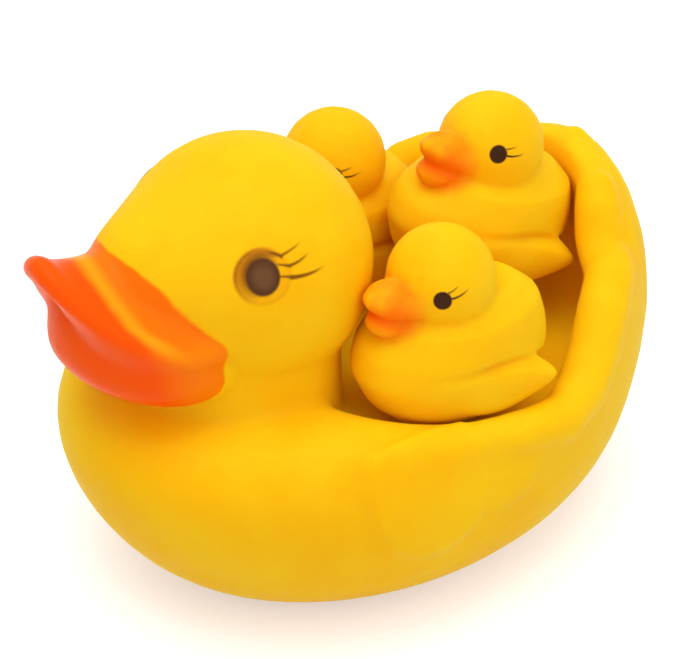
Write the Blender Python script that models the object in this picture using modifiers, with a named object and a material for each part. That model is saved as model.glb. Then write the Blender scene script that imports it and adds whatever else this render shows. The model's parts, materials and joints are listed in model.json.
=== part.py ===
"""A soft vinyl bath duck that carries three ducklings in its hollowed back.

Each duck is one thin moulded shell with a round hole in its flat base, and a
squeaker is pressed into that hole. The duck faces -Y, its left side is +X and
+Z is up. The origin is at base height, under the middle of the whole length and
width. Lengths are in metres.
"""

import math

import bmesh
import bpy
from mathutils import Euler, Matrix, Vector

MM = 0.001

# The shapes are laid out from the middle of the base, then moved back by this much to put
# the middle of the whole length over the origin.
LAYOUT_SHIFT = 2.88 * MM

# Shell of the duck.
WALL = 2.2 * MM
CHICK_WALL = 1.8 * MM
VENT_RADIUS = 6.5 * MM
PLUG_RECESS = 0.4 * MM
PLUG_FLANGE = 1.2 * MM
PLUG_HOLE = 1.2 * MM
CLEARANCE = 0.3 * MM

# Hull: an egg-shaped bowl with a flat base and a full breast.
HULL_LENGTH = 124 * MM
STERN_OVERHANG = 2.4 * MM
HULL_WIDTH = 92 * MM
BASE_LENGTH = 74 * MM
BASE_WIDTH = 54 * MM
BILGE_HEIGHT = 26 * MM

# Hollow in the back. Its rim is low at the sides and rises steeply to the tail.
BASIN_MIDDLE = -15 * MM
BASIN_AHEAD = 37.4 * MM
BASIN_BEHIND = 32.3 * MM
BASIN_SIDE = 37.4 * MM
BASIN_SQUARENESS = 3.0
BASIN_TAPER = 1.5
FLOOR_HEIGHT = 37 * MM
LIP = 3.5 * MM
RIM_ANGLES = (0, 45, 70, 90, 100, 108, 115, 123, 130, 140, 149, 156, 164, 180)
RIM_HEIGHTS = (48, 47.5, 44.5, 42, 42, 43.5, 47.5, 53.5, 56.5, 57, 58.5, 64, 67.5, 69.5)

# Feathers. Each wing follows the rim up to a tip, and three scallops stand out below it:
# forward, height, half length, half height, depth, inner end. A smaller feather and the
# tail follow.
SCALLOPS = (
    (13.5 * MM, 38 * MM, 11.5 * MM, 16 * MM, 1.1 * MM, 38 * MM),
    (-2 * MM, 42 * MM, 11 * MM, 14.5 * MM, 0.8 * MM, 39.3 * MM),
    (-16 * MM, 46 * MM, 10.5 * MM, 13 * MM, 0.5 * MM, 38.7 * MM),
)
WING_ANGLES = (66, 80, 94, 106, 116, 125, 134, 141, 145)
WING_RADII = (2.4, 3.8, 4.6, 5.0, 5.0, 5.0, 4.8, 4.2, 2.6)
WING_STEP = 0.3 * MM
FEATHER_ANGLES = (136, 144, 151, 157, 162, 166)
FEATHER_RADII = (3.0, 4.2, 4.8, 4.6, 3.8, 2.2)
TAIL_RADII = (4.0, 5.2, 5.4, 5.0, 4.2, 2.6)

# Head, with the forehead drawn out to the bill.
HEAD_RADIUS = 23.7 * MM
HEAD_FORWARD = 24.8 * MM
HEAD_HEIGHT = 67 * MM
FOREHEAD_RADIUS = 13 * MM
FOREHEAD_REACH = 18 * MM
FOREHEAD_RISE = 3.5 * MM
NECK_MIDDLE = 26 * MM
NECK_FRONT = 21 * MM
NECK_BACK = 17.5 * MM
NECK_SIDE = 20 * MM
NECK_FLARE = 1.5 * MM

# Bill: a thick lip that arches over the face from corner to corner and curls up in front,
# closed below by a full bowl. Thickness and squareness are for the upper and lower face.
BILL_HALF_WIDTH = 18.8 * MM
UPPER_REACH = 20 * MM
UPPER_FORWARD = 48 * MM
UPPER_HEIGHT = 76.3 * MM
UPPER_ARCH = 19.4 * MM
UPPER_THICK = (2.6 * MM, 3.2 * MM)
UPPER_SQUARENESS = (14, 10)
UPPER_CURL = 5.4 * MM
LOWER_REACH = 18.2 * MM
LOWER_FORWARD = 46 * MM
LOWER_HEIGHT = 63.5 * MM
LOWER_ARCH = 6 * MM
LOWER_THICK = (11 * MM, 11.5 * MM)
LOWER_SQUARENESS = (6, 2.4)
CORNER_SWEEP = 5.6 * MM

# Eyes: a low round disc on each side of the head.
EYE_AZIMUTH = 66.6
EYE_LATITUDE = 25.4
EYE_RADIUS = 3.6 * MM
EYE_PROUD = 0.3 * MM

# Duckling, about the middle of its own base.
CHICK_HALF_LENGTH = 20.6 * MM
CHICK_HALF_WIDTH = 14.2 * MM
CHICK_BREAST = 3 * MM
CHICK_BACK_HEIGHT = 25.6 * MM
CHICK_HEAD_RADIUS = 10.2 * MM
CHICK_HEAD_FORWARD = 3 * MM
CHICK_HEAD_HEIGHT = 27 * MM
CHICK_BILL = (8 * MM, 6 * MM, 2.6 * MM)
CHICK_VENT_RADIUS = 3.5 * MM

# Places of the ducklings: forward, left, height over the hollow's floor, yaw, pitch and roll.
CHICK_PLACES = {
    "duckling_left": (-3.4 * MM, 25.1 * MM, 1.8 * MM, 2, 3.5, -2.8),
    "duckling_right": (-7.6 * MM, -22.2 * MM, 2.7 * MM, 10, 8.6, 4.3),
    "duckling_rear": (-24.2 * MM, 1.8 * MM, 10.8 * MM, 2, 16.7, 2.5),
}


def clear_scene():
    for item in list(bpy.data.objects):
        bpy.data.objects.remove(item)


def place(forward, left, height):
    """A point of the duck, which faces -Y with +X on its left."""
    return Vector((left, -forward, height))


def blend(start, end, share):
    return start + (end - start) * share


def looked_up(value, places, values):
    """The value of a smooth table between its listed places."""
    for n in range(len(places) - 1):
        if value <= places[n + 1]:
            share = max(0.0, (value - places[n]) / (places[n + 1] - places[n]))
            return blend(values[n], values[n + 1], share * share * (3 - 2 * share))
    return values[-1]


def rim_height(angle):
    degrees = abs(math.degrees(math.remainder(angle, math.tau)))
    return looked_up(degrees, RIM_ANGLES, RIM_HEIGHTS) * MM


def oval_point(angle, middle, front, back, side, squareness, height, behind=2.0):
    """A point on an egg-shaped ring; angle 0 is straight ahead."""
    ahead = math.cos(angle)
    reach = front - middle if ahead > 0 else middle - back
    power = squareness if ahead > 0 else behind
    size = (abs(ahead) ** power + abs(math.sin(angle)) ** power) ** (-1 / power)
    return place(middle + reach * size * ahead, side * size * math.sin(angle), height)


def hull_rings(angle, inset):
    """Points up the outside of the hull, over the rim and down into the hollow."""
    length = HULL_LENGTH / 2 - inset
    width = HULL_WIDTH / 2 - inset
    base_length = BASE_LENGTH / 2 - inset
    base_width = BASE_WIDTH / 2 - inset
    rim = rim_height(angle)
    floor = FLOOR_HEIGHT - inset
    front = BASIN_MIDDLE + BASIN_AHEAD + inset
    back = BASIN_MIDDLE - BASIN_BEHIND - inset
    side = BASIN_SIDE + inset
    low = BILGE_HEIGHT * 0.31 + inset * 0.6
    rows = (
        (0, 0.6 * base_length, -0.6 * base_length, 0.6 * base_width, 2, inset),
        (0, base_length, -base_length, base_width, 2, inset),
        (0, 0.785 * length, -0.81 * length, 0.83 * width, 2, low),
        (0, 0.885 * length, -0.91 * length, 0.945 * width, 2, BILGE_HEIGHT * 0.62),
        (0, 0.97 * length, -0.965 * length, width, 2, BILGE_HEIGHT),
        (0, length, -length - STERN_OVERHANG, 0.98 * width, 2.1, blend(BILGE_HEIGHT, rim, 0.5)),
        (-5 * MM, 0.93 * length, -0.93 * length - 0.4 * STERN_OVERHANG, 0.94 * width, 2.2,
         rim - 4.4 * MM - 0.3 * inset, 2.1),
        (BASIN_MIDDLE, 50 * MM - inset, back + 2 * inset - 2.1 * LIP, side - 2 * inset + 1.95 * LIP, 2.3,
         rim - 1.2 * MM - inset, BASIN_TAPER + 0.2),
        (BASIN_MIDDLE, 32 * MM, back + inset - LIP, side - inset + LIP, 2.8, rim - inset, BASIN_TAPER),
        (BASIN_MIDDLE, front, back, side, BASIN_SQUARENESS, rim - 1.8 * MM - inset, BASIN_TAPER),
        (BASIN_MIDDLE, front - 1 * MM, back - 3.6 * MM, side + 0.4 * MM, BASIN_SQUARENESS,
         blend(floor, rim - inset, 0.4), BASIN_TAPER),
        (BASIN_MIDDLE, front - 3 * MM, back - 0.4 * MM, side, 2.8, floor + 0.4 * MM),
        (BASIN_MIDDLE, front - 19 * MM, back + 12 * MM, side - 12 * MM, 2.2, floor),
    )
    return [oval_point(angle, *row) for row in rows]


def chick_rings(angle, inset):
    """Points up the outside of a duckling's body."""
    length = CHICK_HALF_LENGTH - inset
    width = CHICK_HALF_WIDTH - inset
    top = CHICK_BACK_HEIGHT - inset
    rows = (
        (0, 0.4 * length, 0.42 * width, inset),
        (0, 0.58 * length, 0.6 * width, inset),
        (0, 0.85 * length, 0.86 * width, 0.18 * top + 0.5 * inset),
        (0, length, width, 0.43 * top),
        (-0.2 * MM, 0.96 * length, 0.97 * width, 0.62 * top),
        (-1.5 * MM, 0.8 * length, 0.86 * width, 0.81 * top),
        (-3 * MM, 0.5 * length, 0.58 * width, 0.95 * top),
    )
    return [
        oval_point(angle, shift + CHICK_BREAST * half / length, shift + half, shift - half, side, 2, height)
        for shift, half, side, height in rows
    ]


def neck_rings(angle, inset):
    """Points up the neck, which flares a little to the front and sides."""
    low = FLOOR_HEIGHT - 2 * MM - 2 * inset
    high = HEAD_HEIGHT - 3 * MM
    rows = []
    for share in (0, 0.01, 0.45, 0.99, 1):
        flare = NECK_FLARE * (1 - share) - inset
        cap = 0.5 if share in (0, 1) else 1
        front = NECK_MIDDLE + cap * (NECK_FRONT + flare)
        back = NECK_MIDDLE - cap * (NECK_BACK - inset)
        rows.append((NECK_MIDDLE, front, back, cap * (NECK_SIDE + flare), 2, blend(low, high, share)))
    return [oval_point(angle, *row) for row in rows]


def ringed_mesh(ring_points, bottom, top, steps):
    """A ball whose rings are moved to the given points, from its bottom up."""
    rings = len(ring_points(0.0))
    bm = bmesh.new()
    bmesh.ops.create_uvsphere(bm, u_segments=steps, v_segments=rings + 1, radius=1)
    for vertex in bm.verts:
        x, y, z = vertex.co
        row = round(math.acos(max(-1.0, min(1.0, -z))) / math.pi * (rings + 1)) - 1
        if row < 0:
            vertex.co = bottom
        elif row >= rings:
            vertex.co = top
        else:
            vertex.co = ring_points(math.atan2(y, x))[row]
    bmesh.ops.recalc_face_normals(bm, faces=bm.faces)
    return bm


def hull_mesh(inset, steps):
    floor = place(BASIN_MIDDLE, 0, FLOOR_HEIGHT - inset)
    return ringed_mesh(lambda angle: hull_rings(angle, inset), place(0, 0, inset), floor, steps)


def chick_mesh(inset, steps):
    crown = place(-4 * MM, 0, CHICK_BACK_HEIGHT - inset)
    return ringed_mesh(lambda angle: chick_rings(angle, inset), place(0, 0, inset), crown, steps)


def neck_mesh(inset, steps):
    low = place(NECK_MIDDLE, 0, FLOOR_HEIGHT - 2 * MM - 2 * inset)
    high = place(NECK_MIDDLE, 0, HEAD_HEIGHT - 3 * MM)
    return ringed_mesh(lambda angle: neck_rings(angle, inset), low, high, steps)


def swept_mesh(points, radii, steps):
    """A rounded rod that swells and tapers along a path."""
    tangents = [
        (points[min(n + 1, len(points) - 1)] - points[max(n - 1, 0)]).normalized()
        for n in range(len(points))
    ]
    frames = [tangent.to_track_quat("Z", "Y").to_matrix() for tangent in tangents]

    def ring(angle):
        return [
            point + frame @ Vector((radius * math.cos(angle), radius * math.sin(angle), 0))
            for point, frame, radius in zip(points, frames, radii)
        ]

    start = points[0] - tangents[0] * radii[0] * 0.7
    end = points[-1] + tangents[-1] * radii[-1] * 0.7
    return ringed_mesh(ring, start, end, steps)


def rim_point(degrees, side, out, up):
    """A point in the middle of the rim's thickness, moved outwards and upwards."""
    angle = math.radians(degrees)
    point = oval_point(
        angle, BASIN_MIDDLE, BASIN_MIDDLE + BASIN_AHEAD + LIP + out, BASIN_MIDDLE - BASIN_BEHIND - LIP - out,
        BASIN_SIDE + LIP + out, 2.8, rim_height(angle) - LIP + up, BASIN_TAPER,
    )
    point.x *= side
    return point


def wing_rod(side):
    rise = [WING_STEP * max(0, n - 3) for n in range(len(WING_ANGLES))]
    points = [rim_point(degrees, side, 1 * MM + 2 * up, up) for degrees, up in zip(WING_ANGLES, rise)]
    return swept_mesh(points, [radius * MM for radius in WING_RADII], 20)


def feather_rod(side):
    points = [rim_point(degrees, side, 0.8 * MM, 0.3 * MM) for degrees in FEATHER_ANGLES]
    return swept_mesh(points, [radius * MM for radius in FEATHER_RADII], 16)


def tail_rod():
    back = BASIN_MIDDLE - BASIN_BEHIND - LIP
    points = [
        place(back - 4 * MM + 0.6 * MM * n, 0, rim_height(math.pi) - 21 * MM + 3.9 * MM * n)
        for n in range(len(TAIL_RADII))
    ]
    return swept_mesh(points, [radius * MM for radius in TAIL_RADII], 16)


def scallop_mesh(side, forward, height, half_length, half_height, inside):
    """An oval bar across the hull, which picks out one scallop of a wing."""
    bm = bmesh.new()
    bmesh.ops.create_cone(bm, cap_ends=True, segments=32, radius1=1, radius2=1, depth=30 * MM)
    for vertex in bm.verts:
        x, y, z = vertex.co
        vertex.co = place(
            forward + half_length * x, side * (inside + 15 * MM + z), height + half_height * y
        )
    bmesh.ops.recalc_face_normals(bm, faces=bm.faces)
    return bm


def add_ball(bm, radius, centre, segments=28, rings=16):
    bmesh.ops.create_uvsphere(
        bm, u_segments=segments, v_segments=rings, radius=radius, matrix=Matrix.Translation(centre)
    )


def head_mesh(inset, segments, rings):
    """The head and forehead wrapped in one skin."""
    bm = bmesh.new()
    add_ball(bm, HEAD_RADIUS - inset, place(HEAD_FORWARD, 0, HEAD_HEIGHT), segments, rings)
    brow = place(HEAD_FORWARD + FOREHEAD_REACH, 0, HEAD_HEIGHT + FOREHEAD_RISE)
    add_ball(bm, FOREHEAD_RADIUS - inset, brow, segments, rings)
    bmesh.ops.delete(bm, geom=list(bm.edges), context="EDGES_FACES")
    bmesh.ops.convex_hull(bm, input=bm.verts)
    bmesh.ops.delete(bm, geom=[v for v in bm.verts if not v.link_faces], context="VERTS")
    bmesh.ops.recalc_face_normals(bm, faces=bm.faces)
    return bm


def cylinder_mesh(radius, low, high, centre=(0, 0), top_radius=None, segments=32):
    bm = bmesh.new()
    bmesh.ops.create_cone(
        bm, cap_ends=True, segments=segments, radius1=radius,
        radius2=radius if top_radius is None else top_radius, depth=high - low,
        matrix=Matrix.Translation(place(*centre, (low + high) / 2)),
    )
    return bm


def bill_mesh(forward, height, reach, half_width, thick, squareness, arch, curl, sweep, steps=(28, 12)):
    """A plate with a full rounded edge. Its corners sweep back and down and its rim curls up."""
    bm = bmesh.new()
    bmesh.ops.create_uvsphere(bm, u_segments=steps[0], v_segments=steps[1], radius=1)
    for vertex in bm.verts:
        across, ahead, up = vertex.co.x, -vertex.co.y, vertex.co.z
        face = 0 if up > 0 else 1
        radius = min(1, math.hypot(across, ahead))
        full = math.copysign(math.sqrt(1 - radius ** squareness[face]), up)
        vertex.co = place(
            forward + reach * ahead - sweep * across * across,
            half_width * across,
            height + thick[face] * full + curl * radius ** 4 - arch * abs(across) ** 1.6,
        )
    return bm


def disc_mesh(azimuth, latitude, radius, proud, side):
    """A low round disc set on the head."""
    out = place(
        math.cos(latitude) * math.cos(azimuth),
        side * math.cos(latitude) * math.sin(azimuth),
        math.sin(latitude),
    )
    bm = bmesh.new()
    turn = out.to_track_quat("Z", "Y").to_matrix().to_4x4()
    spot = place(HEAD_FORWARD, 0, HEAD_HEIGHT) + out * (HEAD_RADIUS + proud - 1.6 * MM)
    bmesh.ops.create_cone(
        bm, cap_ends=True, segments=24, radius1=radius, radius2=radius - 0.4 * MM,
        depth=3.2 * MM, matrix=Matrix.Translation(spot) @ turn,
    )
    return bm


def plug_mesh(hole_radius, wall):
    """A turned squeaker: a plug that fills the hole, with a wider flange inside the shell."""
    inner, outer = PLUG_HOLE, hole_radius - CLEARANCE
    flange = hole_radius + PLUG_FLANGE
    low, step, high = PLUG_RECESS, wall + CLEARANCE, wall + CLEARANCE + PLUG_FLANGE
    profile = ((inner, low), (outer, low), (outer, step), (flange, step), (flange, high), (inner, high))
    bm = bmesh.new()
    loop = [bm.verts.new((radius, 0, height)) for radius, height in profile]
    edges = [bm.edges.new((loop[n], loop[(n + 1) % len(loop)])) for n in range(len(loop))]
    bmesh.ops.spin(
        bm, geom=loop + edges, cent=(0, 0, 0), axis=(0, 0, 1), angle=math.tau, steps=20,
        use_merge=True, use_duplicate=False,
    )
    bmesh.ops.remove_doubles(bm, verts=bm.verts, dist=0.00001)
    bmesh.ops.recalc_face_normals(bm, faces=bm.faces)
    return bm


def object_from(bm, name, skin, collection):
    mesh = bpy.data.meshes.new(name)
    bm.to_mesh(mesh)
    bm.free()
    mesh.shade_smooth()
    item = bpy.data.objects.new(name, mesh)
    item.data.materials.append(skin)
    collection.objects.link(item)
    return item


def helper_from(bm, name, skin, collection):
    item = object_from(bm, name, skin, collection)
    item.hide_render = True
    item.display_type = "WIRE"
    return item


def add_subdivision(item, levels):
    modifier = item.modifiers.new("rounding", "SUBSURF")
    modifier.levels = levels
    modifier.render_levels = levels


def add_boolean(item, other, operation):
    modifier = item.modifiers.new(other.name, "BOOLEAN")
    modifier.operation = operation
    modifier.object = other
    modifier.solver = "EXACT"
    modifier.material_mode = "TRANSFER"


def material(name, colour, roughness):
    skin = bpy.data.materials.new(name)
    skin.use_nodes = True
    shader = skin.node_tree.nodes["Principled BSDF"]
    shader.inputs["Base Color"].default_value = (*colour, 1)
    shader.inputs["Roughness"].default_value = roughness
    return skin


def build_mother(parts, helpers, yellow, orange, brown, pale):
    mother = object_from(hull_mesh(0, 32), "mother_duck", yellow, parts)
    add_subdivision(mother, 1)
    joins = [
        helper_from(head_mesh(0, 32, 16), "head", yellow, helpers),
        helper_from(neck_mesh(0, 32), "neck", yellow, helpers),
        helper_from(
            bill_mesh(UPPER_FORWARD, UPPER_HEIGHT, UPPER_REACH, BILL_HALF_WIDTH, UPPER_THICK,
                      UPPER_SQUARENESS, UPPER_ARCH, UPPER_CURL, CORNER_SWEEP),
            "upper_bill", orange, helpers),
        helper_from(
            bill_mesh(LOWER_FORWARD, LOWER_HEIGHT, LOWER_REACH, BILL_HALF_WIDTH - 0.5 * MM, LOWER_THICK,
                      LOWER_SQUARENESS, LOWER_ARCH, 0, CORNER_SWEEP - 2 * MM),
            "lower_bill", orange, helpers),
    ]
    for side in (1, -1):
        disc = disc_mesh(math.radians(EYE_AZIMUTH), math.radians(EYE_LATITUDE), EYE_RADIUS, EYE_PROUD, side)
        joins.append(helper_from(disc, "eye_left" if side > 0 else "eye_right", brown, helpers))
        joins.append(helper_from(wing_rod(side), f"wing_{side}", yellow, helpers))
        joins.append(helper_from(feather_rod(side), f"feather_{side}", yellow, helpers))
        for n, (forward, height, half_length, half_height, depth, inside) in enumerate(SCALLOPS):
            pick = helper_from(
                scallop_mesh(side, forward, height, half_length, half_height, inside),
                f"scallop_{side}_{n}", yellow, helpers)
            relief = helper_from(hull_mesh(-depth, 32), f"relief_{side}_{n}", yellow, helpers)
            add_subdivision(relief, 1)
            add_boolean(relief, pick, "INTERSECT")
            joins.append(relief)
    joins.append(helper_from(tail_rod(), "tail", yellow, helpers))
    for item in joins:
        add_boolean(mother, item, "UNION")
    void = helper_from(hull_mesh(WALL, 20), "void", yellow, helpers)
    add_subdivision(void, 1)
    head_void = helper_from(head_mesh(WALL, 18, 10), "head_void", yellow, helpers)
    neck_void = helper_from(neck_mesh(WALL, 18), "neck_void", yellow, helpers)
    vent = helper_from(cylinder_mesh(VENT_RADIUS, -2 * MM, 3 * WALL, segments=20), "vent", yellow, helpers)
    for item in (head_void, neck_void, vent):
        add_boolean(void, item, "UNION")
    add_boolean(mother, void, "DIFFERENCE")
    object_from(plug_mesh(VENT_RADIUS, WALL), "mother_squeaker", pale, parts)


def wing_mesh(side):
    """A small folded wing, low on a duckling's side with its tip drawn out behind."""
    bm = bmesh.new()
    bmesh.ops.create_uvsphere(bm, u_segments=14, v_segments=8, radius=1)
    for vertex in bm.verts:
        across, ahead, up = vertex.co.x, -vertex.co.y, vertex.co.z
        behind = max(0.0, -ahead)
        vertex.co = place(
            -3 * MM + 11.5 * MM * ahead,
            side * (11.6 * MM + 3 * MM * behind * behind) + 3.6 * MM * across,
            8.6 * MM + 6 * MM * up * (1 - 0.35 * behind),
        )
    return bm


def build_chick(name, spot, parts, helpers, yellow, orange, pale):
    body = object_from(chick_mesh(0, 26), name, yellow, parts)
    length, width, thick = CHICK_BILL
    front = CHICK_HEAD_FORWARD + CHICK_HEAD_RADIUS
    bm = bmesh.new()
    add_ball(bm, CHICK_HEAD_RADIUS, place(CHICK_HEAD_FORWARD, 0, CHICK_HEAD_HEIGHT), 22, 12)
    joins = [
        helper_from(bm, name + "_head", yellow, helpers),
        helper_from(
            bill_mesh(front - 1 * MM, CHICK_HEAD_HEIGHT - 0.6 * MM, length, width, (thick, thick),
                      (4, 4), 2 * MM, 1 * MM, 2 * MM, (14, 8)),
            name + "_upper_bill", orange, helpers),
        helper_from(
            bill_mesh(front - 2 * MM, CHICK_HEAD_HEIGHT - 4.2 * MM, 0.85 * length, 0.85 * width, (thick, thick),
                      (3, 3), 1 * MM, 0, 1 * MM, (14, 8)),
            name + "_lower_bill", orange, helpers),
        helper_from(wing_mesh(1), name + "_left_wing", yellow, helpers),
        helper_from(wing_mesh(-1), name + "_right_wing", yellow, helpers),
    ]
    for item in joins:
        add_boolean(body, item, "UNION")
    void = helper_from(chick_mesh(CHICK_WALL, 16), name + "_void", yellow, helpers)
    bm = bmesh.new()
    head = place(CHICK_HEAD_FORWARD, 0, CHICK_HEAD_HEIGHT)
    add_ball(bm, CHICK_HEAD_RADIUS - CHICK_WALL, head, 14, 8)
    head_void = helper_from(bm, name + "_head_void", yellow, helpers)
    vent = helper_from(
        cylinder_mesh(CHICK_VENT_RADIUS, -2 * MM, 3 * CHICK_WALL, segments=20), name + "_vent", yellow, helpers)
    for item in (head_void, vent):
        add_boolean(void, item, "UNION")
    add_boolean(body, void, "DIFFERENCE")
    plug = object_from(plug_mesh(CHICK_VENT_RADIUS, CHICK_WALL), name + "_squeaker", pale, parts)
    forward, left, height, yaw, pitch, roll = spot
    turn = Euler((math.radians(-pitch), math.radians(roll), math.radians(yaw)), "XYZ").to_matrix().to_4x4()
    for item in [body, *joins, void, head_void, vent, plug]:
        item.matrix_world = Matrix.Translation(place(forward, left, FLOOR_HEIGHT + height)) @ turn


def main():
    clear_scene()
    parts = bpy.data.collections.new("bath_duck_with_ducklings")
    helpers = bpy.data.collections.new("helpers")
    for collection in (parts, helpers):
        bpy.context.scene.collection.children.link(collection)
    yellow = material("yellow_vinyl", (1.0, 0.58, 0.02), 0.45)
    orange = material("orange_paint", (1.0, 0.14, 0.0), 0.35)
    brown = material("brown_paint", (0.12, 0.04, 0.015), 0.4)
    pale = material("pale_plastic", (0.8, 0.78, 0.72), 0.4)
    build_mother(parts, helpers, yellow, orange, brown, pale)
    for name, spot in CHICK_PLACES.items():
        build_chick(name, spot, parts, helpers, yellow, orange, pale)
    for item in [*parts.objects, *helpers.objects]:
        item.matrix_world = Matrix.Translation((0, LAYOUT_SHIFT, 0)) @ item.matrix_world


main()
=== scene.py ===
"""Bath duck with three ducklings in its hollowed back: soft yellow vinyl, orange painted bills and
printed eyes, on a white studio floor. Lengths are in metres, and the duck faces -Y."""

import json
import math

import bmesh
import bpy
from mathutils import Euler, Matrix, Vector

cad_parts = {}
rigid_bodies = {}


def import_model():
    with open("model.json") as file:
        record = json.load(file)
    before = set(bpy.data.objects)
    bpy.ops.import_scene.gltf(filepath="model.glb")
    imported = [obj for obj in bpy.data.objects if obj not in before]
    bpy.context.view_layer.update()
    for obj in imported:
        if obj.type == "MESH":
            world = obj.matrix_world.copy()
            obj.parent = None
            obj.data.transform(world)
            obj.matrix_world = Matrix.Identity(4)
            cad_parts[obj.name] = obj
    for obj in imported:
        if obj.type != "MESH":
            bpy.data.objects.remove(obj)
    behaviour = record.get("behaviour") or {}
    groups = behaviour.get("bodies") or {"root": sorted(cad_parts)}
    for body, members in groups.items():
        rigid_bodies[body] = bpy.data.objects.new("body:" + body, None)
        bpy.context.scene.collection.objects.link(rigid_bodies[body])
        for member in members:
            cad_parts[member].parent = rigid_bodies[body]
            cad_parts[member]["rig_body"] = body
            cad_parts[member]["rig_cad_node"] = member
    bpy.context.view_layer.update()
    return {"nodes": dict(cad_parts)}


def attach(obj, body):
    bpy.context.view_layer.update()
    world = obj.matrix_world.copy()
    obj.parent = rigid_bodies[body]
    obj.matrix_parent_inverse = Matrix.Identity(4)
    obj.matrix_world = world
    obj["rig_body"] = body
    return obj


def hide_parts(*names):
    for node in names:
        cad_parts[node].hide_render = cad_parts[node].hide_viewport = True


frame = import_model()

MM = 0.001

# Corners of the model nearer than this are one corner.
SAME_PLACE = 0.002 * MM

# Places and sizes of the model that the skins, prints and paints are laid out from.
LAYOUT_SHIFT = 2.88 * MM
HEAD_MIDDLE = Vector((0, LAYOUT_SHIFT - 24.8 * MM, 67 * MM))
HEAD_RADIUS = 23.7 * MM
WALL = 2.2 * MM
VENT_RADIUS = 6.5 * MM
CHICK_WALL = 1.8 * MM
CHICK_VENT_RADIUS = 3.5 * MM
CHICK_HEAD_MIDDLE = Vector((0, -3 * MM, 27 * MM))
CHICK_HEAD_RADIUS = 10.2 * MM
CHICK_PLACES = {   # forward, left, height, yaw, pitch and roll
    "duckling_left": (-3.4 * MM, 25.1 * MM, 38.8 * MM, 2, 3.5, -2.8),
    "duckling_right": (-7.6 * MM, -22.2 * MM, 39.7 * MM, 10, 8.6, 4.3),
    "duckling_rear": (-24.2 * MM, 1.8 * MM, 47.8 * MM, 2, 16.7, 2.5),
}

# What belongs to a vent's bore, as shares of the vent's radius and of the wall.
BORE_REACH = 1.04
BORE_TOP = 1.3
BORE_RISE = 0.6

# The duckling's blunt lips, in its own frame: the middle and the half sizes of each.
CHICK_LIPS = (
    (Vector((0, -15.0 * MM, 26.9 * MM)), (4.2 * MM, 4.4 * MM, 2.9 * MM)),
    (Vector((0, -15.6 * MM, 22.1 * MM)), (3.9 * MM, 3.5 * MM, 2.3 * MM)),
)

# The line above the duckling's wing. It is level at first and curves down towards the tail, and it
# deepens along its run, up to the middle of the body.
CHICK_WING_TOP = 13.7 * MM
CHICK_WING_LEVEL_END = -1 * MM
CHICK_WING_FALL = 18
CHICK_CREASE_DEPTH = 1.1 * MM
CHICK_CREASE_WIDTH = 0.9 * MM
CHICK_CREASE_RUN = 14 * MM
CHICK_CREASE_INNER = 5 * MM

# Where the eyes are printed: azimuth from straight ahead and latitude, and how far the ducklings'
# prints are turned there, in degrees.
EYE_SPOT = (66.6, 25.4)
CHICK_EYE_SPOTS = {"duckling_left": (53, 5), "duckling_right": (44, 8), "duckling_rear": (54, 12)}
CHICK_EYE_TURNS = {"duckling_left": 14, "duckling_right": 5, "duckling_rear": 3}

# The eye prints, in millimetres: half sizes, and how far behind the middle of the print they fade out.
EYE_RING = 5.0
EYE_IRIS = (2.95, 3.3)
EYE_FADE = (-9.0, -8.0)
CHICK_IRIS = (1.65, 1.75)
CHICK_EYE_FADE = (-4.5, -4.0)

# The printed lashes, in millimetres from the middle of the print: root, tip, width at the root and bend.
EYE_LASHES = (
    ((3.4, 3.3), (7.8, 5.5), 0.26, -0.20),
    ((4.7, 1.4), (8.9, 3.5), 0.32, -0.40),
    ((4.7, -0.6), (12.0, 0.7), 0.44, -0.55),
    ((3.8, 3.1), (0.8, 4.4), 0.30, -0.1),
    ((5.2, 1.3), (1.8, 2.2), 0.30, 0.0),
    ((5.2, -0.6), (1.5, 0.1), 0.28, 0.0),
)
EYE_LASH_SOFTNESS = 0.42
CHICK_LASHES = (
    ((1.4, 0.0), (5.4, 1.1), 0.24, -0.42),
    ((1.25, 1.15), (3.6, 2.1), 0.15, -0.12),
)
CHICK_LASH_SOFTNESS = 0.26

# The bill's paint ends this far forward in the middle and sweeps back to the corners. It stays under
# the forehead and above the chin, and only the curled tip stands higher.
BILL_EDGE_FRONT = LAYOUT_SHIFT - 52.4 * MM
BILL_EDGE_SWEEP = 32.0
BILL_EDGE_CORNER = 1.3e4
BILL_EDGE_TOP = 79.3 * MM
BILL_EDGE_BOTTOM = (50.2 * MM, 50.8 * MM)
BILL_TIP_START = 3 * MM
BILL_TIP_RISE = 45.0

# The painted highlight's pale band and the paler root, by how far in front of the paint's edge they fade.
HIGHLIGHT_START = (3.2 * MM, 6.0 * MM)
HIGHLIGHT_END = (9.0 * MM, 6.2 * MM)
HIGHLIGHT_DRIFT = 6.7 * MM
ROOT_END = (7.6 * MM, 5.2 * MM)

# The spray on the ducklings' bills: its middle, from the middle of the head, and its half sizes.
CHICK_SPRAY_MIDDLE = Vector((0, -11.8 * MM, -2.4 * MM))
CHICK_SPRAY_SIZE = (7.4 * MM, 6.0 * MM, 6.2 * MM)

# The upper lip of the bill, as the model has it, and how its rim curls up.
BILL_HALF_WIDTH = 18.8 * MM
BILL_REACH = 20 * MM
BILL_MIDDLE = LAYOUT_SHIFT - 48 * MM
BILL_HEIGHT = 76.3 * MM
BILL_SWEEP = 5.6 * MM
BILL_ARCH = 19.4 * MM
BILL_ARCH_POWER = 1.6
BILL_CURL = 5.4 * MM
BILL_CURL_POWER = 4.0
BILL_CORNER = Vector((16.4 * MM, LAYOUT_SHIFT - 41.8 * MM, 62.4 * MM))
BILL_CORNER_SIZE = (2.2 * MM, 2.4 * MM, 2.6 * MM)

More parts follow.
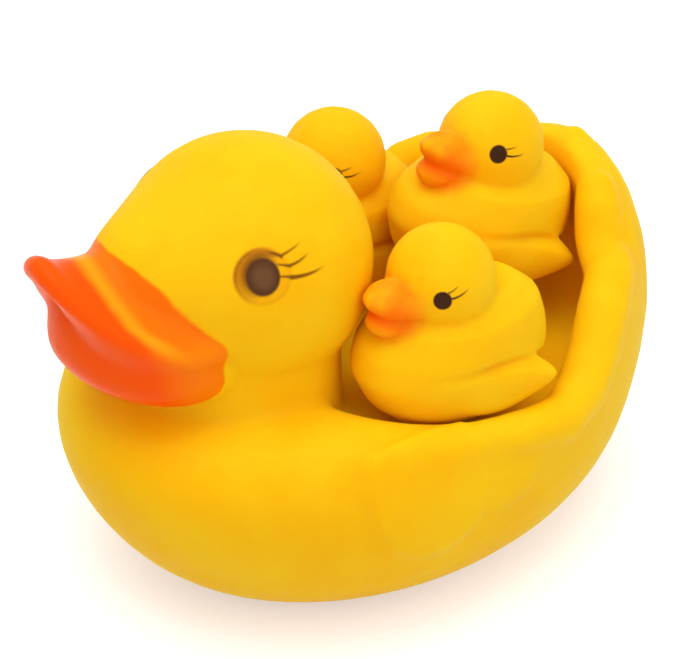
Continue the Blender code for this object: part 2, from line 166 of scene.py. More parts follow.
# The lip's rolled rim and the fillet under its sides. Turns are in degrees from straight ahead, and
# lengths in millimetres.
LIP_BALL_STEP = 4
RIM_LAST_TURN = 60
RIM_RADIUS = 2.5
RIM_THINNING = 0.9
RIM_INSET = 0.1
RIM_LIFT = 1.2
RIM_LIFT_TURN = 45
RIM_DROP = 0.3
FILLET_FIRST_TURN = 6
FILLET_LAST_TURN = 78
FILLET_RADIUS = 1.2
FILLET_GROWTH = 0.04
FILLET_WIDEST = 2.6
FILLET_SHARE = 0.79
FILLET_DROP = 3.4

# How fine the skins are, how much they are smoothed, and over what length that fades in.
SKIN_STEP = 0.85 * MM
CHICK_SKIN_STEP = 0.45 * MM
SKIN_SMOOTHING = 9
CHICK_SKIN_SMOOTHING = 9
BILL_SMOOTHING = 10
BILL_SMOOTHING_FADE = 3 * MM
CHICK_BODY_TOP = 19 * MM
CHICK_BODY_SMOOTHING = 60
CHICK_BODY_SMOOTHING_FADE = 2 * MM

# Finish of the vinyl, how much glossier the bill's paint is, and how deep light goes in.
VINYL_ROUGHNESS = 0.56
PAINT_GLOSS = 0.22
VINYL_DEPTH = 7.0 * MM
CHICK_VINYL_DEPTH = 5.0 * MM

YELLOW = (1.0, 0.555, 0.004, 1)
YELLOW_DEEP = (1.0, 0.50, 0.001, 1)
ORANGE = (1.0, 0.095, 0.0, 1)
ORANGE_MIDDLE = (1.0, 0.185, 0.001, 1)
ORANGE_CORNER = (1.0, 0.25, 0.001, 1)
ORANGE_HIGHLIGHT = (1.0, 0.34, 0.005, 1)
ORANGE_SPRAY = (1.0, 0.30, 0.003, 1)
BROWN = (0.10, 0.035, 0.012, 1)
BROWN_PALE = (0.17, 0.075, 0.030, 1)
BROWN_WARM = (0.46, 0.15, 0.003, 1)
BROWN_LASH = (0.17, 0.040, 0.003, 1)
BROWN_DARK = (0.055, 0.018, 0.008, 1)
SQUEAKER_PALE = (0.80, 0.78, 0.70, 1)
SQUEAKER_DEEP = (0.72, 0.70, 0.62, 1)
WHITE = (1, 1, 1, 1)

# Studio: the floor, the world's light, and the lamps by azimuth, elevation, distance, size and power.
FLOOR_SIZE = 6
FLOOR_DROP = 0.0001
FLOOR_GREY = (0.78, 0.78, 0.78, 1)
FLOOR_GLOW = 0.44
WORLD_LIGHT = 0.6
LAMP_TARGET = Vector((0, 0, 0.04))
LAMPS = {
    "key_light": (50, 62, 0.9, 0.7, 0.9),
    "side_light": (85, 38, 1.0, 0.8, 1.6),
    "top_light": (20, 86, 0.9, 0.8, 4.4),
}

# The photograph's viewpoint: round to the duck's left and above it, in degrees.
VIEW_AZIMUTH = 55
VIEW_ELEVATION = 35
VIEW_DISTANCE = 0.480
VIEW_TARGET = Vector((0, LAYOUT_SHIFT, 0.040))
VIEW_LENS = 133.3
VIEW_SHIFT = (-0.0282, 0.0111)


# Shapes

def select_only(*pieces):
    bpy.ops.object.select_all(action="DESELECT")
    for piece in pieces:
        piece.select_set(True)
    bpy.context.view_layer.objects.active = pieces[0]


def merged_copy(node_name, name):
    """A copy of a shell of the model, with its loose triangles joined up."""
    piece = frame["nodes"][node_name].copy()
    piece.data = piece.data.copy()
    piece.name = name
    piece.data.name = name
    piece.parent = None
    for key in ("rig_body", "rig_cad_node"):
        if key in piece:
            del piece[key]
    bpy.context.scene.collection.objects.link(piece)
    piece.data.materials.clear()
    select_only(piece)
    bpy.ops.object.mode_set(mode="EDIT")
    bpy.ops.mesh.select_all(action="SELECT")
    bpy.ops.mesh.remove_doubles(threshold=SAME_PLACE)
    bpy.ops.object.mode_set(mode="OBJECT")
    return piece


def keep_outside(piece, to_local, vent_radius, wall):
    """Removes the shell's inner wall, and leaves the vent as a shallow closed pocket."""
    select_only(piece)
    bpy.ops.object.mode_set(mode="EDIT")
    bpy.ops.mesh.select_all(action="DESELECT")
    mesh = bmesh.from_edit_mesh(piece.data)
    for face in mesh.faces:
        corners = [to_local @ vert.co for vert in face.verts]
        reach = max(math.hypot(corner.x, corner.y) for corner in corners)
        rise = max(corner.z for corner in corners) - min(corner.z for corner in corners)
        low = max(corner.z for corner in corners) < wall * BORE_TOP
        face.select_set(low and reach < vent_radius * BORE_REACH and rise > wall * BORE_RISE)
    bmesh.update_edit_mesh(piece.data)
    bpy.ops.mesh.delete(type="FACE")
    mesh = bmesh.from_edit_mesh(piece.data)
    top = max(mesh.verts, key=lambda vert: vert.co.z)
    top.select_set(True)
    bmesh.update_edit_mesh(piece.data)
    bpy.ops.mesh.select_linked()
    bpy.ops.mesh.select_all(action="INVERT")
    bpy.ops.mesh.delete(type="VERT")
    bpy.ops.mesh.select_all(action="SELECT")
    bpy.ops.mesh.region_to_loop()
    up = (to_local.to_3x3().inverted() @ Vector((0, 0, 1))).normalized() * wall
    bpy.ops.mesh.extrude_edges_move(TRANSFORM_OT_translate={"value": up})
    bpy.ops.mesh.edge_face_add()
    bpy.ops.mesh.select_all(action="SELECT")
    bpy.ops.mesh.normals_make_consistent(inside=False)
    bpy.ops.object.mode_set(mode="OBJECT")


def apply_modifier(piece, kind, **settings):
    select_only(piece)
    modifier = piece.modifiers.new(kind.lower(), kind)
    for name, value in settings.items():
        setattr(modifier, name, value)
    bpy.ops.object.modifier_apply(modifier=modifier.name)


def moulded_skin(piece, step, rounds):
    """Turns the faceted copy into one even skin with the soft edges of a moulding."""
    apply_modifier(piece, "REMESH", mode="VOXEL", voxel_size=step, use_smooth_shade=True)
    apply_modifier(piece, "SMOOTH", factor=0.5, iterations=rounds)


def smooth_where(piece, share_at, rounds):
    """Evens out a part of the skin. Given a place on it, share_at says how much, from 0 to 1."""
    group = piece.vertex_groups.new(name="evened")
    for vert in piece.data.vertices:
        group.add([vert.index], min(1.0, max(0.0, share_at(vert.co))), "REPLACE")
    apply_modifier(piece, "SMOOTH", factor=0.5, iterations=rounds, vertex_group="evened")
    piece.vertex_groups.clear()


def add_balls(piece, balls):
    """Adds overlapping balls, given as place and half sizes, that the moulding then takes in."""
    made = []
    for middle, size in balls:
        bpy.ops.object.select_all(action="DESELECT")
        bpy.ops.mesh.primitive_uv_sphere_add(segments=24, ring_count=16, radius=1, location=middle)
        ball = bpy.context.object
        ball.scale = size
        made.append(ball)
    select_only(piece, *made)
    bpy.ops.object.join()


def lip_point(turn, share):
    """A place on the middle of the upper lip: turn in degrees from straight ahead, share of its reach."""
    across = share * math.sin(math.radians(turn))
    ahead = share * math.cos(math.radians(turn))
    return Vector((
        BILL_HALF_WIDTH * across,
        BILL_MIDDLE - BILL_REACH * ahead + BILL_SWEEP * across * across,
        BILL_HEIGHT + BILL_CURL * share ** BILL_CURL_POWER - BILL_ARCH * abs(across) ** BILL_ARCH_POWER,
    ))


def lip_balls():
    """The lip's thick rolled rim, and the fillet that joins its sides to the lower bill."""
    balls = []
    for turn in range(-RIM_LAST_TURN, RIM_LAST_TURN + 1, LIP_BALL_STEP):
        radius = (RIM_RADIUS - RIM_THINNING * abs(turn) / RIM_LAST_TURN) * MM
        rim = lip_point(turn, 1 - (radius + RIM_INSET * MM) / BILL_REACH)
        lift = (RIM_LIFT * max(0, 1 - abs(turn) / RIM_LIFT_TURN) - RIM_DROP) * MM
        balls.append((rim + Vector((0, 0, lift)), (radius, radius, radius)))
    for side in (-1, 1):
        for turn in range(FILLET_FIRST_TURN, FILLET_LAST_TURN + 1, LIP_BALL_STEP):
            radius = min(FILLET_WIDEST, FILLET_RADIUS + FILLET_GROWTH * (turn - FILLET_FIRST_TURN)) * MM
            fillet = lip_point(side * turn, FILLET_SHARE) - Vector((0, 0, FILLET_DROP * MM))
            balls.append((fillet, (radius, radius, radius)))
        balls.append((BILL_CORNER * Vector((side, 1, 1)), BILL_CORNER_SIZE))
    return balls


def crease_wings(piece, to_local):
    """Presses a line into each flank, above the folded wing, at its full depth from the middle back."""
    from_local = to_local.inverted()
    for vert in piece.data.vertices:
        spot = to_local @ vert.co
        if abs(spot.x) < CHICK_CREASE_INNER:
            continue
        line = CHICK_WING_TOP - CHICK_WING_FALL * max(0.0, spot.y - CHICK_WING_LEVEL_END) ** 2
        off = (spot.z - line) / CHICK_CREASE_WIDTH
        share = min(1.0, max(0.0, (spot.y + CHICK_CREASE_RUN) / CHICK_CREASE_RUN))
        spot.x -= math.copysign(CHICK_CREASE_DEPTH * share * math.exp(-off * off), spot.x)
        vert.co = from_local @ spot


def chick_matrix(node_name):
    """Frame of a duckling: the middle of its base, and how it is turned and leans."""
    forward, left, height, yaw, pitch, roll = CHICK_PLACES[node_name]
    turn = Euler((math.radians(-pitch), math.radians(roll), math.radians(yaw)), "XYZ")
    return Matrix.Translation((left, LAYOUT_SHIFT - forward, height)) @ turn.to_matrix().to_4x4()


def build_mother():
    piece = merged_copy("mother_duck", "mother_duck_skin")
    to_vent = Matrix.Translation((0, -LAYOUT_SHIFT, 0))
    keep_outside(piece, to_vent, VENT_RADIUS, WALL)
    add_balls(piece, lip_balls())
    moulded_skin(piece, SKIN_STEP, SKIN_SMOOTHING)
    smooth_where(piece, lambda spot: (BILL_EDGE_FRONT - spot.y) / BILL_SMOOTHING_FADE, BILL_SMOOTHING)
    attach(piece, "root")
    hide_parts("mother_duck")
    return piece


def build_chick(node_name):
    piece = merged_copy(node_name, node_name + "_skin")
    to_vent = chick_matrix(node_name).inverted()
    keep_outside(piece, to_vent, CHICK_VENT_RADIUS, CHICK_WALL)
    from_vent = to_vent.inverted()
    add_balls(piece, [(from_vent @ middle, size) for middle, size in CHICK_LIPS])
    moulded_skin(piece, CHICK_SKIN_STEP, CHICK_SKIN_SMOOTHING)
    smooth_where(
        piece,
        lambda spot: (CHICK_BODY_TOP - (to_vent @ spot).z) / CHICK_BODY_SMOOTHING_FADE,
        CHICK_BODY_SMOOTHING,
    )
    crease_wings(piece, to_vent)
    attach(piece, "root")
    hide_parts(node_name)
    return piece


# Material building

def feed(tree, socket, value):
    """Gives a socket a value, or joins another node's output to it."""
    if isinstance(value, bpy.types.NodeSocket):
        tree.links.new(value, socket)
    else:
        socket.default_value = value


def wired(tree, kind, settings=None, **inputs):
    """A new node. An input is named by its socket, or by the letter i and its number."""
    node = tree.nodes.new(kind)
    for name, value in (settings or {}).items():
        setattr(node, name, value)
    for name, value in inputs.items():
        key = int(name[1:]) if name[1:].isdigit() else name.replace("_", " ")
        feed(tree, node.inputs[key], value)
    return node


def maths(tree, operation, *values, clamp=False):
    inputs = {"i%d" % k: value for k, value in enumerate(values)}
    return wired(tree, "ShaderNodeMath", {"operation": operation, "use_clamp": clamp}, **inputs).outputs[0]


def ramp(tree, value, low, high, start=0.0, end=1.0):
    """A smooth step from start at low to end at high, level beyond both. Low may be the larger."""
    if low > high:
        low, high, start, end = high, low, end, start
    node = wired(
        tree, "ShaderNodeMapRange", {"interpolation_type": "SMOOTHSTEP"},
        Value=value, From_Min=low, From_Max=high, To_Min=start, To_Max=end,
    )
    return node.outputs["Result"]


def mixed(tree, mask, first, second):
    """A colour that goes from the first to the second where the mask goes from 0 to 1."""
    node = tree.nodes.new("ShaderNodeMix")
    node.data_type = "RGBA"
    # The two colour sockets come after those for plain numbers and vectors.
    for number, value in ((0, mask), (6, first), (7, second)):
        feed(tree, node.inputs[number], value)
    return node.outputs[2]


def from_frame(tree, point, matrix, unit=1.0):
    """The point's coordinates in the frame that matrix describes, in that unit."""
    node = tree.nodes.new("ShaderNodeMapping")
    node.vector_type = "TEXTURE"
    tree.links.new(point, node.inputs["Vector"])
    node.inputs["Location"].default_value = matrix.to_translation()
    node.inputs["Rotation"].default_value = matrix.to_euler("XYZ")
    node.inputs["Scale"].default_value = (unit, unit, unit)
    return node.outputs[0]


def split(tree, point):
    return wired(tree, "ShaderNodeSeparateXYZ", i0=point).outputs


def joined(tree, x, y, z):
    return wired(tree, "ShaderNodeCombineXYZ", i0=x, i1=y, i2=z).outputs[0]


def length_of(tree, vector):
    return wired(tree, "ShaderNodeVectorMath", {"operation": "LENGTH"}, i0=vector).outputs["Value"]


def noise(tree, point, scale, detail=2.0, roughness=0.5):
    node = wired(tree, "ShaderNodeTexNoise", Vector=point, Scale=scale, Detail=detail, Roughness=roughness)
    return node.outputs["Fac"]


def new_group(name, inputs, outputs):
    """A shader node group with named sockets. Gives the group and its input and output nodes."""
    group = bpy.data.node_groups.new(name, "ShaderNodeTree")
    for label, kind in inputs:
        group.interface.new_socket(label, in_out="INPUT", socket_type="NodeSocket" + kind)
    for label, kind in outputs:
        group.interface.new_socket(label, in_out="OUTPUT", socket_type="NodeSocket" + kind)
    return group, group.nodes.new("NodeGroupInput").outputs, group.nodes.new("NodeGroupOutput").inputs


def placed_group(tree, group, **inputs):
    node = tree.nodes.new("ShaderNodeGroup")
    node.node_tree = group
    for name, value in inputs.items():
        feed(tree, node.inputs[name.replace("_", " ")], value)
    return node.outputs


def vinyl_group():
    """Soft vinyl's skin: clouded colour, faint handling marks, a fine grain and long low waves."""
    group, given, out = new_group(
        "vinyl_skin",
        (("Point", "Vector"), ("Colour", "Color"), ("Deep Colour", "Color"), ("Roughness", "Float")),
        (("Colour", "Color"), ("Roughness", "Float"), ("Height", "Float")),
    )
    point = given["Point"]
    clouds = noise(group, point, scale=45, detail=3, roughness=0.55)
    cloud_mask = ramp(group, clouds, 0.38, 0.68)
    colour = mixed(group, cloud_mask, given["Colour"], given["Deep Colour"])
    group.links.new(colour, out["Colour"])
    marks = noise(group, point, scale=210, detail=4, roughness=0.6)
    rough = maths(group, "MULTIPLY_ADD", ramp(group, marks, 0.35, 0.7), 0.10, given["Roughness"])
    group.links.new(rough, out["Roughness"])
    grain = noise(group, point, scale=2600)
    waves = noise(group, point, scale=95, detail=1, roughness=0.4)
    height = maths(group, "MULTIPLY_ADD", waves, 9.0, grain)
    group.links.new(height, out["Height"])
    return group


def stroke_group():
    """One printed lash, 1 long from its root along X: curved, widest near the root, fading at the tip."""
    group, given, out = new_group(
        "lash_stroke",
        (("Point", "Vector"), ("Width", "Float"), ("Bend", "Float"), ("Soft", "Float")),
        (("Mask", "Float"),),
    )
    along, across, _ = split(group, given["Point"])
    # The lash bends in a parabola through both ends.
    rest = maths(group, "SUBTRACT", 1.0, along)
    middle = maths(group, "MULTIPLY", maths(group, "MULTIPLY", along, rest), 4.0)
    line = maths(group, "MULTIPLY", middle, given["Bend"])
    offset = maths(group, "ABSOLUTE", maths(group, "SUBTRACT", across, line))
    taper = maths(group, "MULTIPLY_ADD", along, -0.75, 1.0)
    half = maths(group, "MULTIPLY", taper, given["Width"])
    edge = maths(group, "DIVIDE", maths(group, "SUBTRACT", half, offset), given["Soft"])
    inside = maths(group, "ADD", edge, 0.5, clamp=True)
    start = ramp(group, along, -0.05, 0.03)
    end = ramp(group, along, 1.02, 0.55)
    mask = maths(group, "MULTIPLY", inside, maths(group, "MULTIPLY", start, end))
    group.links.new(mask, out["Mask"])
    return group


def eye_matrix(middle, radius, spot, turn=0):
    """Frame of an eye print: X back along the cheek, Y up and Z out of the head."""
    azimuth, latitude = (math.radians(value) for value in spot)
    back = Vector((math.cos(azimuth), math.sin(azimuth), 0))
    out = Vector((
        math.cos(latitude) * math.sin(azimuth), -math.cos(latitude) * math.cos(azimuth), math.sin(latitude),
    ))
    up = out.cross(back)
    basis = Matrix((back, up, out)).transposed().to_4x4()
    return Matrix.Translation(middle + out * radius) @ basis @ Matrix.Rotation(math.radians(turn), 4, "Z")


def both_sides(tree, point):
    """The point, folded over onto the left side."""
    x, y, z = split(tree, point)
    return joined(tree, maths(tree, "ABSOLUTE", x), y, z)


def stroke(tree, group, point, root, tip, width, bend, soft):
    """A lash between two places of the eye print, in millimetres."""
    start, end = Vector(root), Vector(tip)
    length = (end - start).length
    turn = math.atan2(end.y - start.y, end.x - start.x)
    frame_of_lash = Matrix.Translation((start.x, start.y, 0)) @ Matrix.Rotation(turn, 4, "Z")
    place = from_frame(tree, point, frame_of_lash, length)
    return placed_group(
        tree, group, Point=place, Width=width / length, Bend=bend / length, Soft=soft / length,
    )["Mask"]


def together(tree, masks):
    """One mask that covers what any of them covers."""
    total = masks[0]
    for mask in masks[1:]:
        total = maths(tree, "MAXIMUM", total, mask)
    return total


def oval(tree, point, width, height):
    """Distance from the middle of an eye print, 1 on an oval of those half sizes."""
    x, y, _ = split(tree, point)
    flat = joined(tree, maths(tree, "DIVIDE", x, width), maths(tree, "DIVIDE", y, height), 0.0)
    return length_of(tree, flat)


def new_material(name):
    """Gives a material, its node tree, its shader and the output of the point on the piece."""
    material = bpy.data.materials.new(name)
    material.use_nodes = True
    tree = material.node_tree
    tree.nodes.clear()
    shader = tree.nodes.new("ShaderNodeBsdfPrincipled")
    output = tree.nodes.new("ShaderNodeOutputMaterial")
    tree.links.new(shader.outputs[0], output.inputs["Surface"])
    point = tree.nodes.new("ShaderNodeTexCoord").outputs["Object"]
    return material, tree, shader, point


def finish_vinyl(tree, shader, colour, roughness, height, depth):
    """Joins a vinyl piece's colour, gloss and relief to its shader."""
    tree.links.new(colour, shader.inputs["Base Color"])
    tree.links.new(roughness, shader.inputs["Roughness"])
    bump = wired(tree, "ShaderNodeBump", Height=height, Strength=0.12, Distance=0.02 * MM)
    tree.links.new(bump.outputs[0], shader.inputs["Normal"])
    shader.inputs["Subsurface Weight"].default_value = 0.8
    shader.inputs["Subsurface Radius"].default_value = (1.0, 0.5, 0.1)
    shader.inputs["Subsurface Scale"].default_value = depth
    shader.inputs["Specular IOR Level"].default_value = 0.13
    shader.inputs["Specular Tint"].default_value = (1.0, 0.85, 0.55, 1)
    shader.inputs["IOR"].default_value = 1.45


def bill_orange(tree, point, depth, x, y, z):
    """The bill's paint: orange at the root, then a painted highlight as a thin pale band along the valley,
    and deep on the rim and bowl. Depth is how far in front of the paint's edge the point is."""
    across = maths(tree, "DIVIDE", x, BILL_HALF_WIDTH)
    square = maths(tree, "MULTIPLY", across, across)
    forward = maths(tree, "SUBTRACT", BILL_MIDDLE, y)
    ahead = maths(tree, "DIVIDE", maths(tree, "MULTIPLY_ADD", square, BILL_SWEEP, forward), BILL_REACH)
    reach = length_of(tree, joined(tree, across, ahead, 0.0))
    droop = maths(tree, "POWER", maths(tree, "ABSOLUTE", across), BILL_ARCH_POWER)
    droop = maths(tree, "MULTIPLY", droop, BILL_ARCH)
    curl = maths(tree, "MULTIPLY", maths(tree, "POWER", reach, BILL_CURL_POWER), BILL_CURL)
    middle = maths(tree, "SUBTRACT", maths(tree, "ADD", curl, BILL_HEIGHT), droop)
    # Only the lip's top face takes the paler root and the painted highlight.
    top_face = ramp(tree, maths(tree, "SUBTRACT", z, middle), -0.6 * MM, 1.6 * MM)
    # The painted highlight's band drifts forward towards the sides.
    drift = maths(tree, "MULTIPLY", maths(tree, "MINIMUM", square, 0.45), -HIGHLIGHT_DRIFT)
    waver = noise(tree, point, scale=130, detail=3)
    uneven = maths(tree, "MULTIPLY_ADD", waver, 2.4 * MM, maths(tree, "ADD", depth, drift))
    # Painted highlight: a pale band where the valley of the lip's top face catches the light.
    highlight = maths(tree, "MULTIPLY", ramp(tree, uneven, *HIGHLIGHT_START), ramp(tree, uneven, *HIGHLIGHT_END))
    root = ramp(tree, uneven, *ROOT_END)
    orange = mixed(tree, maths(tree, "MULTIPLY", root, top_face), ORANGE, ORANGE_MIDDLE)
    orange = mixed(tree, maths(tree, "MULTIPLY", highlight, top_face), orange, ORANGE_HIGHLIGHT)
    corner = ramp(tree, square, 0.62, 0.95)
    return mixed(tree, maths(tree, "MULTIPLY", corner, 0.8), orange, ORANGE_CORNER)


def mother_material(vinyl, lash):
    material, tree, shader, point = new_material("yellow_vinyl")
    skin = placed_group(
        tree, vinyl, Point=point, Colour=YELLOW, Deep_Colour=YELLOW_DEEP, Roughness=VINYL_ROUGHNESS,
    )

    # Bill paint: all that stands out in front of the head, with a slightly uneven edge.
    x, y, z = split(tree, point)
    ahead = maths(tree, "SUBTRACT", BILL_EDGE_FRONT, y)
    square = maths(tree, "MULTIPLY", x, x)
    swept = maths(tree, "MULTIPLY_ADD", square, BILL_EDGE_SWEEP, ahead)
    swept = maths(tree, "MULTIPLY_ADD", maths(tree, "MULTIPLY", square, square), BILL_EDGE_CORNER, swept)
    waver = maths(tree, "MULTIPLY_ADD", noise(tree, point, scale=170), 0.8 * MM, swept)
    front = ramp(tree, waver, 0.1 * MM, 0.7 * MM)
    paint = maths(tree, "MULTIPLY", front, ramp(tree, z, *BILL_EDGE_BOTTOM))
    # At the top it ends under the forehead, and only the curled tip stands higher.
    beyond = maths(tree, "MAXIMUM", maths(tree, "SUBTRACT", swept, BILL_TIP_START), 0.0)
    rise = maths(tree, "MULTIPLY", maths(tree, "MULTIPLY", beyond, beyond), BILL_TIP_RISE)
    under = maths(tree, "SUBTRACT", maths(tree, "ADD", rise, BILL_EDGE_TOP), z)
    paint = maths(tree, "MULTIPLY", paint, ramp(tree, under, -0.3 * MM, 0.3 * MM))
    colour = mixed(tree, paint, skin["Colour"], bill_orange(tree, point, swept, x, y, z))

    # Eyes: a ring of thin wash, and lashes and a dark oval over it.
    eye = eye_matrix(HEAD_MIDDLE, HEAD_RADIUS, EYE_SPOT)
    place = from_frame(tree, both_sides(tree, point), eye, MM)
    along, up, out = split(tree, place)
    near = ramp(tree, out, *EYE_FADE)
    reach = oval(tree, place, EYE_RING, EYE_RING)
    # The ring, the colour inside it and the dark rim round the iris are strongest in front of and above the
    # iris, and faint below and behind it.
    lean = maths(tree, "MULTIPLY_ADD", along, -0.13, maths(tree, "MULTIPLY", up, 0.10))
    lean = maths(tree, "ADD", lean, 0.30, clamp=True)
    rim = maths(tree, "MULTIPLY", ramp(tree, reach, 0.78, 0.92), ramp(tree, reach, 1.10, 0.95))
    rim = maths(tree, "MULTIPLY", rim, maths(tree, "MULTIPLY_ADD", lean, 0.75, 0.22))
    thin = maths(tree, "MULTIPLY_ADD", lean, 0.75, 0.12)
    wash = maths(tree, "MULTIPLY", ramp(tree, reach, 1.0, 0.85), thin)
    lid = maths(tree, "MULTIPLY", ramp(tree, up, 2.2, 4.0), ramp(tree, reach, 1.03, 0.92))
    washes = together(tree, [wash, rim, maths(tree, "MULTIPLY", lid, 0.9)])
    washes = maths(tree, "MULTIPLY", washes, near)
    colour = mixed(tree, washes, colour, BROWN_WARM)
    lashes = together(
        tree, [stroke(tree, lash, place, *given, EYE_LASH_SOFTNESS) for given in EYE_LASHES],
    )
    lashes = maths(tree, "MULTIPLY", lashes, maths(tree, "MULTIPLY", near, 0.9))
    colour = mixed(tree, lashes, colour, BROWN_LASH)
    disc = oval(tree, place, *EYE_IRIS)
    halo = maths(tree, "MULTIPLY", ramp(tree, disc, 1.45, 1.0), maths(tree, "MULTIPLY", lean, near))
    colour = mixed(tree, halo, colour, BROWN_LASH)
    iris = maths(tree, "MULTIPLY", ramp(tree, disc, 1.12, 0.92), near)
    shade = mixed(tree, ramp(tree, disc, 0.3, 1.0), BROWN_PALE, BROWN)
    colour = mixed(tree, iris, colour, shade)

    gloss = maths(tree, "MULTIPLY_ADD", paint, -PAINT_GLOSS, skin["Roughness"])
    finish_vinyl(tree, shader, colour, gloss, skin["Height"], VINYL_DEPTH)
    return material


def chick_material(node_name, vinyl, lash):
    material, tree, shader, world_point = new_material("yellow_vinyl_" + node_name)
    point = from_frame(tree, world_point, chick_matrix(node_name))
    skin = placed_group(
        tree, vinyl, Point=world_point, Colour=YELLOW, Deep_Colour=YELLOW_DEEP, Roughness=VINYL_ROUGHNESS,
    )

    # Bill: sprayed on, so its edge fades into the head.
    bill = Matrix.Translation(CHICK_HEAD_MIDDLE + CHICK_SPRAY_MIDDLE)
    places = split(tree, from_frame(tree, point, bill))
    shares = [maths(tree, "DIVIDE", value, size) for value, size in zip(places, CHICK_SPRAY_SIZE)]
    reach = length_of(tree, joined(tree, *shares))
    uneven = maths(tree, "MULTIPLY_ADD", noise(tree, point, scale=300), 0.25, reach)
    spray = ramp(tree, uneven, 1.32, 0.86)
    colour = mixed(tree, maths(tree, "MULTIPLY", spray, 0.92), skin["Colour"], ORANGE_SPRAY)
    colour = mixed(tree, maths(tree, "MULTIPLY", ramp(tree, uneven, 1.05, 0.7), 0.55), colour, ORANGE)

    # Eyes: a dark oval and two lashes.
    spot = CHICK_EYE_SPOTS[node_name]
    eye = eye_matrix(CHICK_HEAD_MIDDLE, CHICK_HEAD_RADIUS, spot, CHICK_EYE_TURNS[node_name])
    place = from_frame(tree, both_sides(tree, point), eye, MM)
    near = ramp(tree, split(tree, place)[2], *CHICK_EYE_FADE)
    lashes = together(
        tree, [stroke(tree, lash, place, *given, CHICK_LASH_SOFTNESS) for given in CHICK_LASHES],
    )
    iris = ramp(tree, oval(tree, place, *CHICK_IRIS), 1.12, 0.9)
    print_mask = maths(tree, "MULTIPLY", maths(tree, "MAXIMUM", lashes, iris), near)
    colour = mixed(tree, print_mask, colour, BROWN_DARK)
    finish_vinyl(tree, shader, colour, skin["Roughness"], skin["Height"], CHICK_VINYL_DEPTH)
    return material


def squeaker_material(name):
    """Hard pale plastic with a fine moulded grain."""
    material, tree, shader, point = new_material(name)
    tint = ramp(tree, noise(tree, point, scale=900, detail=3), 0.3, 0.7)
    colour = mixed(tree, tint, SQUEAKER_PALE, SQUEAKER_DEEP)
    tree.links.new(colour, shader.inputs["Base Color"])
    rough = ramp(tree, noise(tree, point, scale=1500), 0.3, 0.7, start=0.42, end=0.55)
    tree.links.new(rough, shader.inputs["Roughness"])
    grain = noise(tree, point, scale=4000)
    bump = wired(tree, "ShaderNodeBump", Height=grain, Strength=0.1, Distance=0.01 * MM)
    tree.links.new(bump.outputs[0], shader.inputs["Normal"])
    return material


# Studio

def build_floor():
    """White paper. Its glow is seen by the camera and in gloss, and lights nothing else."""
    bpy.ops.object.select_all(action="DESELECT")
    bpy.ops.mesh.primitive_plane_add(size=FLOOR_SIZE, location=(0, 0, -FLOOR_DROP))
    floor = bpy.context.object
    floor.name = "studio_floor"
    material = bpy.data.materials.new("floor_paper")
    material.use_nodes = True
    tree = material.node_tree
    tree.nodes.clear()
    paper = wired(tree, "ShaderNodeBsdfDiffuse", Color=FLOOR_GREY)
    glow = wired(tree, "ShaderNodeEmission", Color=WHITE, Strength=FLOOR_GLOW)
    rays = tree.nodes.new("ShaderNodeLightPath")
    seen = maths(tree, "MAXIMUM", rays.outputs["Is Camera Ray"], rays.outputs["Is Glossy Ray"])
    seen = maths(tree, "MAXIMUM", seen, rays.outputs["Is Transmission Ray"])
    both = wired(tree, "ShaderNodeAddShader", i0=paper.outputs[0], i1=glow.outputs[0])
    pick = wired(tree, "ShaderNodeMixShader", i0=seen, i1=paper.outputs[0], i2=both.outputs[0])
    output = tree.nodes.new("ShaderNodeOutputMaterial")
    tree.links.new(pick.outputs[0], output.inputs["Surface"])
    floor.data.materials.append(material)


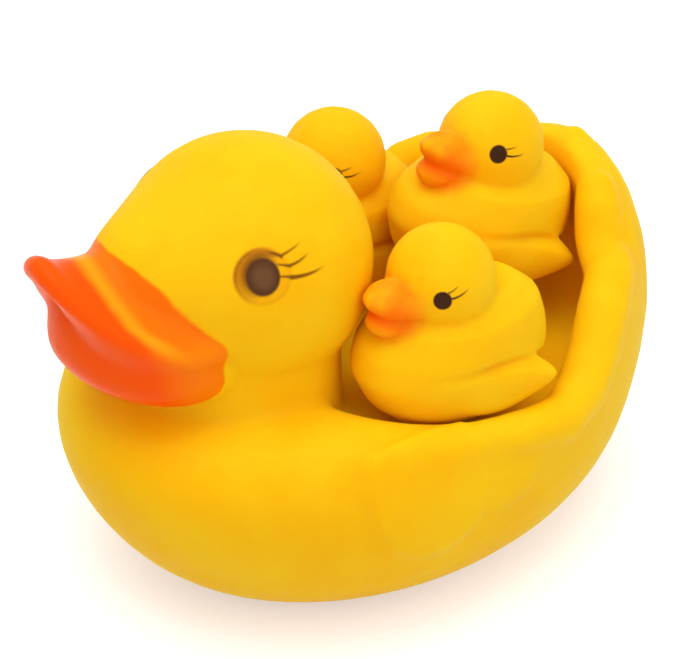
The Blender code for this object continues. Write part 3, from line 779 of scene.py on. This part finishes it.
def build_world():
    """Soft light from all round, and a white background for the camera."""
    world = bpy.data.worlds.new("studio")
    bpy.context.scene.world = world
    world.use_nodes = True
    tree = world.node_tree
    tree.nodes.clear()
    rays = tree.nodes.new("ShaderNodeLightPath")
    seen = maths(tree, "MAXIMUM", rays.outputs["Is Camera Ray"], rays.outputs["Is Transmission Ray"])
    light = wired(tree, "ShaderNodeBackground", Color=WHITE, Strength=WORLD_LIGHT)
    white = wired(tree, "ShaderNodeBackground", Color=WHITE, Strength=1.0)
    pick = wired(tree, "ShaderNodeMixShader", i0=seen, i1=light.outputs[0], i2=white.outputs[0])
    output = tree.nodes.new("ShaderNodeOutputWorld")
    tree.links.new(pick.outputs[0], output.inputs["Surface"])


def away_from_duck(azimuth, elevation):
    """The direction, given in degrees round from straight ahead to the duck's left, and upwards."""
    azimuth, elevation = math.radians(azimuth), math.radians(elevation)
    return Vector((
        math.sin(azimuth) * math.cos(elevation),
        -math.cos(azimuth) * math.cos(elevation),
        math.sin(elevation),
    ))


def softbox(name, azimuth, elevation, distance, size, power):
    """A square lamp that faces the duck from that direction."""
    away = away_from_duck(azimuth, elevation)
    data = bpy.data.lights.new(name, "AREA")
    data.shape = "SQUARE"
    data.size = size
    data.energy = power
    lamp = bpy.data.objects.new(name, data)
    lamp.location = LAMP_TARGET + away * distance
    lamp.rotation_mode = "QUATERNION"
    lamp.rotation_quaternion = away.to_track_quat("Z", "Y")
    bpy.context.scene.collection.objects.link(lamp)


def build_camera():
    """The camera, at the photograph's viewpoint."""
    away = away_from_duck(VIEW_AZIMUTH, VIEW_ELEVATION)
    camera = bpy.data.objects.new("camera", bpy.data.cameras.new("camera"))
    bpy.context.scene.collection.objects.link(camera)
    bpy.context.scene.camera = camera
    camera.rotation_mode = "QUATERNION"
    camera.rotation_quaternion = away.to_track_quat("Z", "Y")
    camera.location = VIEW_TARGET + away * VIEW_DISTANCE
    camera.data.sensor_width = 36
    camera.data.lens = VIEW_LENS
    camera.data.shift_x, camera.data.shift_y = VIEW_SHIFT
    camera.data.clip_start = 0.01
    camera.data.clip_end = 20


# The duck

vinyl = vinyl_group()
lash = stroke_group()
mother = build_mother()
mother.data.materials.append(mother_material(vinyl, lash))
for node_name in CHICK_PLACES:
    chick = build_chick(node_name)
    chick.data.materials.append(chick_material(node_name, vinyl, lash))
plastic = squeaker_material("squeaker_plastic")
for node_name, node in frame["nodes"].items():
    if node_name.endswith("squeaker"):
        node.data.materials.clear()
        node.data.materials.append(plastic)

build_floor()
build_world()
for name, setting in LAMPS.items():
    softbox(name, *setting)
build_camera()
bpy.context.scene.view_settings.view_transform = "Standard"
